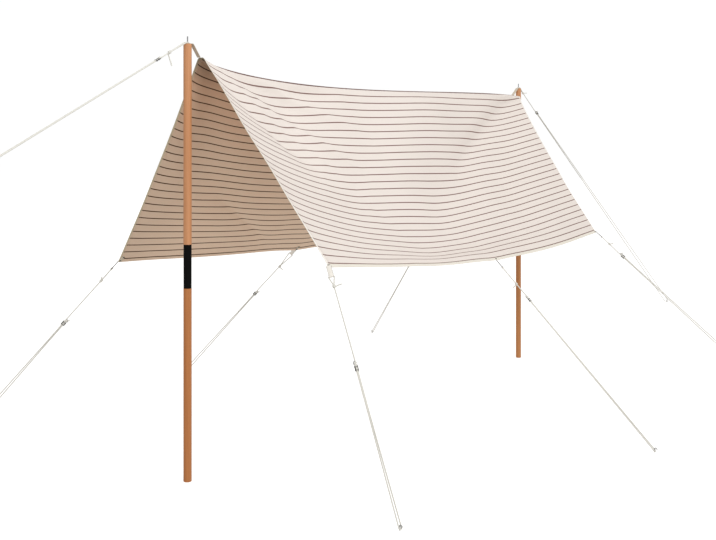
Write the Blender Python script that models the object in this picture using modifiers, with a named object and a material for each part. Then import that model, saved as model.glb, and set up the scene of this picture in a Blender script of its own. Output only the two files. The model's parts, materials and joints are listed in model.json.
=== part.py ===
"""Ridge-pole shade canopy: a striped cloth over two jointed poles, held down by eight guys.

Metres, +Z up. The near pole's foot is the origin, +X runs along the ridge to the far pole,
the front panel hangs on the -Y side and the back panel on the +Y side.
"""

import math

import bmesh
import bpy
from mathutils import Matrix, Vector

# Poles: two round halves, necked down inside a flush sleeve
POLE_HEIGHT = 2.0
POLE_RADIUS = 0.019
POLE_SPAN = 3.36
POLE_CHAMFER = 0.0015
NECK_RADIUS = 0.0157
SLEEVE_BOTTOM = 0.8825
SLEEVE_LENGTH = 0.200
SLEEVE_RADIUS = 0.0185
SLEEVE_BORE = 0.0160
PIN_RADIUS = 0.003
PIN_TOP = 2.035
PIN_TIP_RADIUS = 0.0018
PIN_TIP_CHAMFER = 0.0015
PIN_HOLE_DEPTH = 0.060
PIN_HOLE_RADIUS = 0.0034

# Clearance that touching pieces keep
GAP = 0.0003

# Cloth: a ridge that sags between its two tips, and the thickness of the sheet
CLOTH_THICKNESS = 0.003
CLOTH_COLUMNS = 26
CLOTH_ROWS = 20
TIP_INSET = 0.085
TIP_HEIGHT = 1.944
RIDGE_SAG = 0.078
RIDGE_SHAPE = (0.8, 2.4)

# Each panel: near corner, middle and far corner of its hem, how the hem sways between them,
# how far the near edge bows along the ridge and inwards, and how deep the cloth hangs
PANELS = {
    "front": {
        "hem": (Vector((0.116, -0.726, 1.020)), Vector((1.695, -0.692, 0.907)), Vector((3.230, -0.656, 0.972))),
        "sway": (0.003, 0.000),
        "near_edge": (0.059, 0.033),
        "sag": 0.140,
        "sag_shape": (1.00, 0.65),
        "lean": (0.44, -0.94),
    },
    "back": {
        "hem": (Vector((0.104, 0.605, 0.958)), Vector((1.620, 0.704, 0.902)), Vector((3.265, 0.686, 0.978))),
        "sway": (0.016, 0.042),
        "near_edge": (0.000, 0.000),
        "sag": 0.088,
        "sag_shape": (2.50, 2.10),
        "lean": (-0.28, -0.42),
    },
}
INWARD_SHARE = 0.8
DOWNWARD_SHARE = 0.6

# Webbing: ridge straps from pin to cloth, and tabs with a sewn eye at the hem
STRAP_THICKNESS = 0.0024
STRAP_WIDTH = 0.012
STRAP_TAIL = 0.0085
STRAP_BEND = 0.0185
EYELET_CUT = 0.010
TAB_WIDTH = 0.020
TAB_LENGTH = 0.052
TAB_EYE_BORE = 0.00236
TAB_EYE_WALL = 0.0020
CORNER_REACH = 0.020

# Rope and what is on it
ROPE_RADIUS = 0.002
KNOT_RADIUS = 0.0055
STRAND_OFFSET = 0.00275
ROPE_STUB = 0.003
PEG_LOOP_RADIUS = 0.008
PEG_LOOP_LIFT = 0.002
EYE_HALF_WIDTH = 0.0155
EYE_CORNER = 0.0052
PIN_LOOP_RADIUS = 0.0054
ROPE_RISE = 0.0024
SLIDER_LENGTH = 0.030
SLIDER_WIDTH = 0.019
SLIDER_DEPTH = 0.010
SLIDER_SLOT = (0.011, 0.0054)
SLIDER_COLLAR = 0.0045
SLIDER_TRAVEL = 0.120
SLIDER_BEVEL = 0.0008
PEG_RADIUS = 0.00275
PEG_STEM = 0.016
PEG_HOOK_RADIUS = 0.006
PEG_HOOK_END = -20.0

# Guys: what each is tied to, its peg on the ground, and how far along it the knot and slider sit
GUYS = {
    "near_pole": ("pin", (-3.650, 0.0), 0.104, 0.188),
    "far_pole": ("pin", (6.760, 0.0), 0.090, 0.345),
    "front_near": ("tab", (0.088, -1.106), 0.094, 0.437),
    "front_middle": ("tab", (1.682, -1.585), 0.170, 0.287),
    "front_far": ("tab", (3.589, -1.630), 0.122, 0.246),
    "back_near": ("tab", (-0.218, 1.448), 0.137, 0.450),
    "back_middle": ("tab", (1.580, 1.658), 0.176, 0.460),
    "back_far": ("tab", (3.535, 1.450), 0.137, 0.450),
}
HEM_PLACES = ("near", "middle", "far")

# Facets: sides of turned pieces, and steps of arcs and rounded corners
TURN_STEPS = 28
ARC_STEPS = 8
EYE_STEPS = 16
CORNER_STEPS = 4
KNOT_RINGS = (12, 8)
SMOOTH_ANGLE = 35.0

# Finishes: colour, roughness, metallic
FINISHES = {
    "beech": ((0.62, 0.36, 0.20), 0.45, 0.0),
    "sleeve_black": ((0.015, 0.015, 0.017), 0.50, 0.0),
    "steel": ((0.45, 0.46, 0.48), 0.35, 1.0),
    "canvas": ((0.80, 0.74, 0.68), 0.90, 0.0),
    "webbing": ((0.72, 0.68, 0.60), 0.85, 0.0),
    "rope": ((0.85, 0.83, 0.77), 0.80, 0.0),
    "slider_metal": ((0.16, 0.16, 0.15), 0.40, 1.0),
}


def clear_scene():
    """Remove every object, so the script builds from nothing."""
    for item in list(bpy.data.objects):
        bpy.data.objects.remove(item, do_unlink=True)


def make_collection(name):
    """A collection linked to the scene."""
    made = bpy.data.collections.new(name)
    bpy.context.scene.collection.children.link(made)


def make_material(name, finish):
    """A Principled material of one finish."""
    colour, roughness, metallic = FINISHES[finish]
    made = bpy.data.materials.new(name)
    made.use_nodes = True
    shader = made.node_tree.nodes["Principled BSDF"]
    shader.inputs["Base Color"].default_value = (*colour, 1.0)
    shader.inputs["Roughness"].default_value = roughness
    shader.inputs["Metallic"].default_value = metallic
    made.diffuse_color = (*colour, 1.0)
    return made


def add_object(name, mesh, finish):
    """Put a mesh in the parts' collection under its own name and material."""
    mesh.name = name
    mesh.materials.clear()
    mesh.materials.append(make_material(name, finish))
    made = bpy.data.objects.new(name, mesh)
    bpy.data.collections["shade_canopy"].objects.link(made)
    return made


def evaluated_mesh(item):
    """The mesh that an object's modifiers or curve settings give, in world space, with doubles merged."""
    bpy.context.view_layer.update()
    graph = bpy.context.evaluated_depsgraph_get()
    mesh = bpy.data.meshes.new_from_object(item.evaluated_get(graph), depsgraph=graph)
    mesh.transform(item.matrix_world)
    work = bmesh.new()
    work.from_mesh(mesh)
    bmesh.ops.remove_doubles(work, verts=work.verts, dist=0.00001)
    bmesh.ops.recalc_face_normals(work, faces=work.faces)
    work.to_mesh(mesh)
    work.free()
    return mesh


def take_mesh(item):
    """Turn a helper object into its mesh, and remove the helper."""
    mesh = evaluated_mesh(item)
    bpy.data.objects.remove(item, do_unlink=True)
    return mesh


def helper(name, data):
    """An object in the cutters' collection, which never renders."""
    made = bpy.data.objects.new(name, data)
    made.hide_render = True
    made.display_type = "WIRE"
    bpy.data.collections["shade_canopy_cutters"].objects.link(made)
    return made


def combine(meshes, operation):
    """Join or cut meshes one after another with exact Booleans."""
    base = helper("base", meshes[0])
    tools = [helper("tool", mesh) for mesh in meshes[1:]]
    for tool in tools:
        step = base.modifiers.new("step", "BOOLEAN")
        step.operation = operation
        step.solver = "EXACT"
        step.object = tool
    result = evaluated_mesh(base)
    for item in [base, *tools]:
        bpy.data.objects.remove(item, do_unlink=True)
    return result


def turned(profile, x):
    """Revolve a profile of (radius, height) points about an upright axis on the ridge's plane."""
    mesh = bpy.data.meshes.new("profile")
    points = [(radius, 0.0, height) for radius, height in profile]
    mesh.from_pydata(points, [(i, i + 1) for i in range(len(points) - 1)], [])
    item = helper("turned", mesh)
    item.location = (x, 0.0, 0.0)
    screw = item.modifiers.new("turn", "SCREW")
    screw.steps = TURN_STEPS
    screw.render_steps = TURN_STEPS
    screw.use_merge_vertices = True
    screw.merge_threshold = 0.00001
    return take_mesh(item)


def tube(points, radius, closed=False, resolution=2):
    """A round bar along a list of points."""
    curve = bpy.data.curves.new("path", "CURVE")
    curve.dimensions = "3D"
    curve.bevel_depth = radius
    curve.bevel_resolution = resolution
    curve.use_fill_caps = True
    line = curve.splines.new("POLY")
    line.points.add(len(points) - 1)
    for knot, point in zip(line.points, points):
        knot.co = (*point, 1.0)
    line.use_cyclic_u = closed
    return take_mesh(helper("tube", curve))


def plate(outlines, thickness, frame):
    """A flat outline with its holes, given thickness, laid in a frame of 3 axes and a place."""
    curve = bpy.data.curves.new("outline", "CURVE")
    curve.dimensions = "2D"
    curve.fill_mode = "BOTH"
    curve.extrude = thickness / 2
    for outline in outlines:
        line = curve.splines.new("POLY")
        line.points.add(len(outline) - 1)
        for knot, (across, along) in zip(line.points, outline):
            knot.co = (across, along, 0.0, 1.0)
        line.use_cyclic_u = True
    item = helper("plate", curve)
    item.matrix_world = frame
    return take_mesh(item)


def box(size):
    """A box of a full size about the origin."""
    mesh = bpy.data.meshes.new("box")
    work = bmesh.new()
    bmesh.ops.create_cube(work, size=1.0, matrix=Matrix.Diagonal((*size, 1.0)))
    work.to_mesh(mesh)
    work.free()
    return mesh


def ball(centre, radius):
    """A small knot's body."""
    mesh = bpy.data.meshes.new("ball")
    work = bmesh.new()
    segments, rings = KNOT_RINGS
    bmesh.ops.create_uvsphere(work, u_segments=segments, v_segments=rings, radius=radius)
    bmesh.ops.translate(work, verts=work.verts, vec=centre)
    work.to_mesh(mesh)
    work.free()
    return mesh


def axes_frame(place, x_axis, y_axis, z_axis):
    """A matrix from three unit axes and a place."""
    frame = Matrix((x_axis, y_axis, z_axis)).transposed().to_4x4()
    frame.translation = place
    return frame


def arc(centre, radius, start, end, steps):
    """Points on a flat arc, angles in degrees."""
    made = []
    for i in range(steps + 1):
        angle = math.radians(start + (end - start) * i / steps)
        made.append((centre[0] + radius * math.cos(angle), centre[1] + radius * math.sin(angle)))
    return made


def rounded(before, corner, after, radius):
    """A short curve in place of a corner, from one radius before it to one radius after it."""
    enter = (before - corner).normalized() * radius
    leave = (after - corner).normalized() * radius
    steps = [k / CORNER_STEPS for k in range(CORNER_STEPS + 1)]
    return [corner + enter * (1 - t) ** 2 + leave * t ** 2 for t in steps]


def slack(u, near, far):
    """A hanging line's depth: 0 at both ends, 1 at its lowest, which two powers place."""
    lowest = near / (near + far)
    return (u / lowest) ** near * ((1 - u) / (1 - lowest)) ** far


def bowed(start, through, end, t):
    """A parabola from start to end that passes through a point half way."""
    control = through * 2 - (start + end) / 2
    return start * (1 - t) ** 2 + control * (2 * t * (1 - t)) + end * t ** 2


def ridge_point(u):
    """The sagging ridge between the two tips, lowest a quarter of the way along."""
    x = TIP_INSET + u * (POLE_SPAN - 2 * TIP_INSET)
    return Vector((x, 0.0, TIP_HEIGHT - RIDGE_SAG * slack(u, *RIDGE_SHAPE)))


def cloth_point(side, u, t):
    """A place on one panel: u runs along the ridge, t from the ridge to the hem."""
    panel = PANELS[side]
    outward = -1.0 if side == "front" else 1.0
    inward = Vector((0.0, -outward * INWARD_SHARE, -DOWNWARD_SHARE))
    near_tip, far_tip = ridge_point(0.0), ridge_point(1.0)
    near_corner, middle, far_corner = panel["hem"]
    rise, draw = panel["sway"]
    wave = math.sin(2 * math.pi * u)
    hem = bowed(near_corner, middle, far_corner, u)
    hem += Vector((0.0, -outward * draw * wave ** 2, rise * wave))
    shift, dip = panel["near_edge"]
    near_half = (near_tip + near_corner) / 2 + Vector((shift, 0.0, 0.0)) + inward * dip
    near_edge = bowed(near_tip, near_half, near_corner, t)
    far_edge = far_tip * (1 - t) + far_corner * t
    along = ridge_point(u) * (1 - t) + hem * t
    across = near_edge * (1 - u) + far_edge * u
    corners = (near_tip * (1 - u) + far_tip * u) * (1 - t) + (near_corner * (1 - u) + far_corner * u) * t
    lean, turn = panel["lean"]
    depth = 4 * t * (1 - t) * (1 + (lean + turn * (2 * u - 1)) * (2 * t - 1))
    sag = panel["sag"] * slack(u, *panel["sag_shape"]) * depth
    return along + across - corners + inward * sag


def build_canopy():
    """The cloth, one sheet over the ridge, given a thickness."""
    mesh = bpy.data.meshes.new("canopy")
    work = bmesh.new()
    bmesh.ops.create_grid(work, x_segments=CLOTH_COLUMNS, y_segments=CLOTH_ROWS, size=0.5)
    for vert in work.verts:
        u = min(max(vert.co.x + 0.5, 0.0), 1.0)
        t = min(abs(vert.co.y) * 2, 1.0)
        vert.co = cloth_point("front" if vert.co.y < 0 else "back", u, t)
    bmesh.ops.recalc_face_normals(work, faces=work.faces)
    work.to_mesh(mesh)
    work.free()
    item = helper("cloth", mesh)
    solid = item.modifiers.new("thickness", "SOLIDIFY")
    solid.thickness = CLOTH_THICKNESS
    solid.offset = 0.0
    return add_object("canopy", take_mesh(item), "canvas")


def reach(mesh, corner, direction):
    """How far a mesh stretches past a corner in a direction, near that corner."""
    near = [v.co - corner for v in mesh.vertices if (v.co - corner).length < CORNER_REACH]
    return max(offset.dot(direction) for offset in near)


def build_pole(prefix, x):
    """Lower half, upper half, sleeve and top pin of one pole."""
    top = POLE_HEIGHT
    shoulder = SLEEVE_BOTTOM - GAP
    crown = SLEEVE_BOTTOM + SLEEVE_LENGTH + GAP
    middle = SLEEVE_BOTTOM + SLEEVE_LENGTH / 2
    rim = POLE_RADIUS - POLE_CHAMFER
    lower = [
        (0.0, middle - GAP / 2),
        (NECK_RADIUS, middle - GAP / 2),
        (NECK_RADIUS, shoulder),
        (POLE_RADIUS, shoulder),
        (POLE_RADIUS, POLE_CHAMFER),
        (rim, 0.0),
        (0.0, 0.0),
    ]
    upper = [
        (0.0, top - PIN_HOLE_DEPTH),
        (PIN_HOLE_RADIUS, top - PIN_HOLE_DEPTH),
        (PIN_HOLE_RADIUS, top),
        (rim, top),
        (POLE_RADIUS, top - POLE_CHAMFER),
        (POLE_RADIUS, crown),
        (NECK_RADIUS, crown),
        (NECK_RADIUS, middle + GAP / 2),
        (0.0, middle + GAP / 2),
    ]
    sleeve = [
        (SLEEVE_BORE, SLEEVE_BOTTOM + SLEEVE_LENGTH),
        (SLEEVE_RADIUS, SLEEVE_BOTTOM + SLEEVE_LENGTH),
        (SLEEVE_RADIUS, SLEEVE_BOTTOM),
        (SLEEVE_BORE, SLEEVE_BOTTOM),
        (SLEEVE_BORE, SLEEVE_BOTTOM + SLEEVE_LENGTH),
    ]
    pin_foot = top - PIN_HOLE_DEPTH + GAP
    pin = [
        (0.0, PIN_TOP),
        (PIN_TIP_RADIUS, PIN_TOP),
        (PIN_RADIUS, PIN_TOP - PIN_TIP_CHAMFER),
        (PIN_RADIUS, pin_foot),
        (0.0, pin_foot),
    ]
    add_object(prefix + "_pole_lower", turned(lower, x), "beech")
    add_object(prefix + "_pole_upper", turned(upper, x), "beech")
    add_object(prefix + "_pole_sleeve", turned(sleeve, x), "sleeve_black")
    add_object(prefix + "_pole_pin", turned(pin, x), "steel")


def build_ridge_strap(prefix, x, towards, cloth):
    """Webbing with an eyelet over the pin, bent over the pole's rim down to the cloth's tip."""
    half = STRAP_THICKNESS / 2
    level = GAP + half
    tip = Vector((TIP_INSET, TIP_HEIGHT - POLE_HEIGHT))
    bend = Vector((STRAP_BEND, level))
    slope = (tip - bend).normalized()
    real_slope = Vector((slope.x * towards, 0.0, slope.y))
    tip_place = Vector((x + towards * TIP_INSET, 0.0, TIP_HEIGHT))
    stop = tip + slope * (-reach(cloth, tip_place, -real_slope) - GAP)
    normal = Vector((-slope.y, slope.x))
    mitre = (Vector((0.0, 1.0)) + normal) / (1 + normal.y)
    outline = [
        (-STRAP_TAIL, level + half),
        tuple(bend + mitre * half),
        tuple(stop + normal * half),
        tuple(stop - normal * half),
        tuple(bend - mitre * half),
        (-STRAP_TAIL, level - half),
    ]
    frame = axes_frame(
        Vector((x, 0.0, POLE_HEIGHT)),
        Vector((towards, 0.0, 0.0)),
        Vector((0.0, 0.0, 1.0)),
        Vector((0.0, -towards, 0.0)),
    )
    band = plate([outline], STRAP_WIDTH, frame)
    eyelet_top = POLE_HEIGHT + EYELET_CUT
    eyelet_foot = POLE_HEIGHT - EYELET_CUT
    eyelet = [
        (0.0, eyelet_top),
        (PIN_HOLE_RADIUS, eyelet_top),
        (PIN_HOLE_RADIUS, eyelet_foot),
        (0.0, eyelet_foot),
    ]
    strap = combine([band, turned(eyelet, x)], "DIFFERENCE")
    add_object(prefix + "_ridge_strap", strap, "webbing")


class Guy:
    """One guy line: its run from the anchor to the peg, and the axes along and across it."""

    def __init__(self, name):
        self.name = name
        self.kind, peg, self.knot_at, self.slider_at = GUYS[name]
        if self.kind == "pin":
            self.side = -1.0 if name == "near_pole" else 1.0
            self.pole_x = 0.0 if name == "near_pole" else POLE_SPAN
            self.anchor = Vector((self.pole_x + self.side * STRAP_BEND, 0.0, POLE_HEIGHT + ROPE_RISE))
        else:
            side, place = name.split("_")
            self.anchor = PANELS[side]["hem"][HEM_PLACES.index(place)].copy()
        ground = Vector((peg[0], peg[1], 0.0))
        fall = (ground - self.anchor).normalized()
        loop_height = PEG_LOOP_RADIUS * abs(fall.z) + ROPE_RADIUS + PEG_LOOP_LIFT
        self.loop_centre = ground + Vector((0.0, 0.0, loop_height))
        run = self.loop_centre - self.anchor
        self.length = run.length
        self.along = run.normalized()
        self.across = self.along.cross(Vector((0.0, 0.0, 1.0))).normalized()
        self.normal = self.across.cross(self.along)
        self.outward = Vector((self.along.x, self.along.y, 0.0)).normalized()

    def at(self, distance, across=0.0):
        """A point some distance along the guy and to one side of it."""
        return self.anchor + self.along * distance + self.across * across


def tab_eye(guy):
    """The rope's eye, a triangle with two rounded corners through the tab's loop."""
    knot = guy.at(guy.knot_at)
    left = guy.at(TAB_LENGTH, -EYE_HALF_WIDTH)
    right = guy.at(TAB_LENGTH, EYE_HALF_WIDTH)
    return [knot, *rounded(knot, left, right, EYE_CORNER), *rounded(left, right, knot, EYE_CORNER)]


def pin_eye(guy):
    """The rope's long eye, from the knot over the pole's rim and round the pin."""
    rest = POLE_HEIGHT + 2 * GAP + STRAP_THICKNESS + ROPE_RADIUS
    flat = guy.pole_x + guy.side * (STRAP_TAIL + ROPE_RADIUS)
    half = PIN_LOOP_RADIUS
    turn = arc((guy.pole_x, 0.0), half, 90.0, 90.0 + guy.side * 180.0, ARC_STEPS)
    points = [guy.at(guy.knot_at)]
    points.append(Vector((guy.anchor.x, half, guy.anchor.z)))
    points.append(Vector((flat, half, rest)))
    points.extend(Vector((x, y, rest)) for x, y in turn)
    points.append(Vector((flat, -half, rest)))
    points.append(Vector((guy.anchor.x, -half, guy.anchor.z)))
    return points


def build_rope(guy):
    """Eye, knot, standing strand, turn round the peg and return strand, as one body."""
    eye = tab_eye(guy) if guy.kind == "tab" else pin_eye(guy)
    upper = guy.slider_at - SLIDER_LENGTH
    lower = guy.slider_at + SLIDER_TRAVEL + SLIDER_LENGTH
    run = [
        guy.at(guy.knot_at),
        guy.at(upper, -STRAND_OFFSET),
        guy.at(lower, -STRAND_OFFSET),
        guy.at(guy.length, -PEG_LOOP_RADIUS),
    ]
    for along, across in arc((0.0, 0.0), PEG_LOOP_RADIUS, -90.0, 90.0, ARC_STEPS)[1:-1]:
        run.append(guy.at(guy.length + along, across))
    run.append(guy.at(guy.length, PEG_LOOP_RADIUS))
    run.append(guy.at(lower, STRAND_OFFSET))
    run.append(guy.at(guy.slider_at - SLIDER_LENGTH / 2 - ROPE_STUB, STRAND_OFFSET))
    shapes = [
        tube(run, ROPE_RADIUS),
        tube(eye, ROPE_RADIUS, closed=True),
        ball(guy.at(guy.knot_at), KNOT_RADIUS),
    ]
    add_object(guy.name + "_rope", combine(shapes, "UNION"), "rope")


def build_tab(guy, cloth):
    """Folded webbing from the hem to a sewn eye that the rope runs through."""
    half = STRAP_THICKNESS / 2
    outer = TAB_EYE_BORE + TAB_EYE_WALL
    start = reach(cloth, guy.anchor, guy.along) + GAP
    lean = math.degrees(math.asin(half / outer))
    eye = arc((TAB_LENGTH, 0.0), outer, 180.0 - lean, lean - 180.0, EYE_STEPS)
    outline = [(start, half), *eye, (start, -half)]
    hole = arc((TAB_LENGTH, 0.0), TAB_EYE_BORE, 0.0, 360.0, EYE_STEPS)[:-1]
    frame = axes_frame(guy.anchor, guy.along, guy.normal, guy.along.cross(guy.normal))
    add_object(guy.name + "_tab", plate([outline, hole], TAB_WIDTH, frame), "webbing")


def build_slider(guy):
    """A metal frame with two cheeks and two collars, both strands running through its slot."""
    slot_width, slot_depth = SLIDER_SLOT
    window = SLIDER_LENGTH - 2 * SLIDER_COLLAR
    body = box((SLIDER_WIDTH, SLIDER_DEPTH, SLIDER_LENGTH))
    slot = box((slot_width, slot_depth, SLIDER_LENGTH * 2))
    gap = box((slot_width, SLIDER_DEPTH * 2, window))
    made = add_object(guy.name + "_slider", combine([body, slot, gap], "DIFFERENCE"), "slider_metal")
    centre = guy.at(guy.slider_at)
    made.matrix_world = axes_frame(centre, guy.across, guy.normal, guy.across.cross(guy.normal))
    edge = made.modifiers.new("edges", "BEVEL")
    edge.width = SLIDER_BEVEL
    edge.segments = 1
    edge.limit_method = "ANGLE"


def build_peg(guy):
    """The head of a steel peg, from ground level up: a stem and a hook that opens outwards."""
    pull = PEG_LOOP_RADIUS * math.hypot(guy.along.x, guy.along.y) - ROPE_RADIUS - GAP - PEG_RADIUS
    foot = Vector((guy.loop_centre.x, guy.loop_centre.y, 0.0)) + guy.outward * pull
    points = [foot]
    hook = arc((PEG_HOOK_RADIUS, PEG_STEM), PEG_HOOK_RADIUS, 180.0, PEG_HOOK_END, ARC_STEPS + 2)
    for out, rise in hook:
        points.append(foot + guy.outward * out + Vector((0.0, 0.0, rise)))
    add_object(guy.name + "_peg", tube(points, PEG_RADIUS, resolution=3), "steel")


def main():
    """Build every piece of the canopy in its place."""
    clear_scene()
    make_collection("shade_canopy")
    make_collection("shade_canopy_cutters")
    build_pole("near", 0.0)
    build_pole("far", POLE_SPAN)
    cloth = build_canopy().data
    build_ridge_strap("near", 0.0, 1.0, cloth)
    build_ridge_strap("far", POLE_SPAN, -1.0, cloth)
    for name in GUYS:
        guy = Guy(name)
        build_rope(guy)
        build_slider(guy)
        build_peg(guy)
        if guy.kind == "tab":
            build_tab(guy, cloth)
    for item in bpy.data.collections["shade_canopy"].objects:
        item.data.shade_smooth()
        item.data.set_sharp_from_angle(angle=math.radians(SMOOTH_ANGLE))


main()
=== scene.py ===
# %% [markdown]
# A ridge-pole shade canopy. A striped cotton cloth hangs over two jointed beech poles, and
# eight guys with metal sliders pull it tight. The construction is loaded first, as a frame
# that never moves. Everything after that dresses it: the fine cloth, webbing, cord and wood.

# %% Load the frame
import json
import math
import bmesh
import bpy
import numpy as np
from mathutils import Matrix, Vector


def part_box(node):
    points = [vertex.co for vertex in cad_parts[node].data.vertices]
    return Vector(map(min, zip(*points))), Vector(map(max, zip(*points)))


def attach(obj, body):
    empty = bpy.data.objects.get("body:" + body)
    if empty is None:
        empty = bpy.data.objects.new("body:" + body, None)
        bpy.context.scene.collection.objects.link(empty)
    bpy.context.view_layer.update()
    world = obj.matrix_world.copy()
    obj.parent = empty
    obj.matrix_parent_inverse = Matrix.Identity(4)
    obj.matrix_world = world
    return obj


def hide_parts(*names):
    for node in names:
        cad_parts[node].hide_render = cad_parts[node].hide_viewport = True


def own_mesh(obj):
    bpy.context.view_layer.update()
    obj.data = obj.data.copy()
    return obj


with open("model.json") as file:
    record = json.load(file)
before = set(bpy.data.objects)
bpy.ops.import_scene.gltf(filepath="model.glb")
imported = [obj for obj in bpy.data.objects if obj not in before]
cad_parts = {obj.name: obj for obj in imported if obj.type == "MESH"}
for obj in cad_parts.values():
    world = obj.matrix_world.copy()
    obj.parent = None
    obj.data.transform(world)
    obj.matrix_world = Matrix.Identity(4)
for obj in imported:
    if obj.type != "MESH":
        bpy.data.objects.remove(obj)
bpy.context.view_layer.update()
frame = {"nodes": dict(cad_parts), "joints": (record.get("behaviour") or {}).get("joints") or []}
bpy.context.scene.view_settings.view_transform = "Standard"

# %% [markdown]
# The camera stands level, a little above a person's chest height, and looks along the ridge
# at 36 degrees. A level camera keeps the poles upright in the picture. The object sits low
# in the frame, so the lens is shifted down and not tilted.

# %% Camera
IMAGE_WIDTH = 716
IMAGE_HEIGHT = 540
HORIZON_ROW = 159.5
FOCAL_PIXELS = 950.0
SENSOR_WIDTH = 36.0
EYE = Vector((-3.060, -3.183, 1.4715))
HEADING = Vector((0.80945, 0.58718, 0.0))
SIDEWAYS = Vector((0.58718, -0.80945, 0.0))
UP = Vector((0.0, 0.0, 1.0))


def add_object(name, data):
    """A new object in the scene."""
    made = bpy.data.objects.new(name, data)
    bpy.context.scene.collection.objects.link(made)
    return made


def add_aimed(name, data, place, direction):
    """A camera or a lamp that looks along a direction."""
    made = add_object(name, data)
    made.location = place
    made.rotation_mode = "QUATERNION"
    made.rotation_quaternion = direction.to_track_quat("-Z", "Y")
    return made


lens = bpy.data.cameras.new("camera")
lens.sensor_width = SENSOR_WIDTH
lens.lens = FOCAL_PIXELS / IMAGE_WIDTH * SENSOR_WIDTH
lens.shift_y = (HORIZON_ROW - IMAGE_HEIGHT / 2) / IMAGE_WIDTH
lens.clip_end = 300.0
bpy.context.scene.camera = add_aimed("camera", lens, EYE, HEADING)
print("lens:", round(lens.lens, 2), "mm, shift", round(lens.shift_y, 4))

# %% [markdown]
# Materials are recipes of nodes. Long chains of Math nodes are hard to read, so a small class
# wraps one socket and lets ordinary Python arithmetic add the nodes: 1 - mask simply works.
# Every other node comes from one method, which sets the node's options before its sockets. The
# same method serves the world's light and the tree that sews the hems.

# %% Arithmetic on sockets
class Value:
    """One output of a node. Arithmetic on it adds Math nodes."""

    def __init__(self, recipe, socket):
        self.recipe = recipe
        self.socket = socket

    def math(self, operation, *others):
        sockets = dict(enumerate((self, *others)))
        return self.recipe.node("ShaderNodeMath", {"operation": operation}, sockets)

    def __add__(self, other):
        return self.math("ADD", other)

    def __sub__(self, other):
        return self.math("SUBTRACT", other)

    def __rsub__(self, other):
        return self.recipe.node("ShaderNodeMath", {"operation": "SUBTRACT"}, {0: other, 1: self})

    def __mul__(self, other):
        return self.math("MULTIPLY", other)

    def __truediv__(self, other):
        return self.math("DIVIDE", other)

    __radd__ = __add__
    __rmul__ = __mul__

    def step(self, low, high):
        """0 below low, 1 above high, and smooth in between."""
        ramp = {"From Min": low, "From Max": high, "Value": self}
        return self.recipe.node("ShaderNodeMapRange", {"interpolation_type": "SMOOTHSTEP"}, ramp)

    def wave(self, pitch):
        """A sine that repeats at a pitch."""
        return (self * (2 * math.pi / pitch)).math("SINE")

    def outputs(self):
        """All the outputs of the same node."""
        return [Value(self.recipe, socket) for socket in self.socket.node.outputs]


# %% A recipe of nodes
class Tree:
    """Nodes, and the links between them."""

    def __init__(self, tree):
        self.tree = tree

    def node(self, kind, settings=None, sockets=None, output=0):
        made = self.tree.nodes.new(kind)
        for setting, value in (settings or {}).items():
            setattr(made, setting, value)
        for place, value in (sockets or {}).items():
            self.feed(made.inputs[place], value)
        return Value(self, made.outputs[output])

    def feed(self, socket, value):
        if isinstance(value, Value):
            self.tree.links.new(value.socket, socket)
        elif isinstance(value, tuple) and len(value) == 3 and socket.type == "RGBA":
            socket.default_value = (*value, 1.0)
        else:
            socket.default_value = value


class Recipe(Tree):
    """A material, or the light of the world, and the nodes that it is made of."""

    def __init__(self, name, kind=bpy.data.materials, shader="Principled BSDF"):
        self.owner = kind.new(name)
        self.owner.use_nodes = True
        super().__init__(self.owner.node_tree)
        self.shader = self.tree.nodes[shader]

    def blend(self, share, first, second):
        """A colour between two colours."""
        return self.node("ShaderNodeMix", {"data_type": "RGBA"}, {0: share, 6: first, 7: second}, 2)

    def tint(self, colour, amount):
        """A colour made darker or lighter by a number."""
        return self.node("ShaderNodeVectorMath", {"operation": "SCALE"}, {0: colour, 3: amount})

    def place(self, output):
        """The texture coordinate of one kind."""
        return self.node("ShaderNodeTexCoord", output=output)

    def parts(self, vector):
        """The three numbers of a vector."""
        return self.node("ShaderNodeSeparateXYZ", sockets={0: vector}).outputs()

    def noise(self, vector, scale, detail=3.0):
        """Soft random patches from 0 to 1."""
        return self.node("ShaderNodeTexNoise", sockets={"Vector": vector, "Scale": scale, "Detail": detail})

    def streaks(self, x, y, z=0, detail=3.0):
        """Random patches drawn out. Each number is a place times how fast it changes there."""
        return self.noise(self.node("ShaderNodeCombineXYZ", sockets={0: x, 1: y, 2: z}), 1.0, detail)

    def bump(self, height, distance, strength=1.0, **under):
        """A relief, over another one if that is given as the Normal."""
        sockets = {"Height": height, "Distance": distance, "Strength": strength, **under}
        return self.node("ShaderNodeBump", sockets=sockets)

    def finish(self, **sockets):
        """Feed the shader's own sockets, by name with underscores for spaces."""
        for name, value in sockets.items():
            self.feed(self.shader.inputs[name.replace("_", " ")], value)
        return self.owner


print("recipes ready")

# %% [markdown]
# Cord and webbing are both a cross-section carried along a path. One function does it: a
# round section for cord, a flat one for webbing. It also writes a UV map in metres, so that
# a braid or a weave follows the bend and keeps its real size. A round section is kept from
# twisting by turning it no more than the path itself turns.

# %% Round and flat sections
def arc(first, last, steps):
    """Cosine and sine at even steps from one angle to another, in degrees."""
    angles = [math.radians(first + (last - first) * k / steps) for k in range(steps + 1)]
    return [(math.cos(angle), math.sin(angle)) for angle in angles]


def circle(radius, sides):
    """A round section."""
    return [(radius * c, radius * s) for c, s in arc(0.0, 360.0, sides)[:-1]]


def slab(width, thickness):
    """A flat section with rounded edges."""
    half, edge = width / 2 - thickness / 2, thickness / 2
    ends = ((half, arc(-90.0, 90.0, 4)), (-half, arc(90.0, 270.0, 4)))
    return [(centre + edge * c, edge * s) for centre, turns in ends for c, s in turns]


print("round section:", len(circle(1.0, 8)), "points; flat section:", len(slab(0.02, 0.002)), "points")

# %% Carried along a path
SHARP_ANGLE = math.radians(50)


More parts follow.
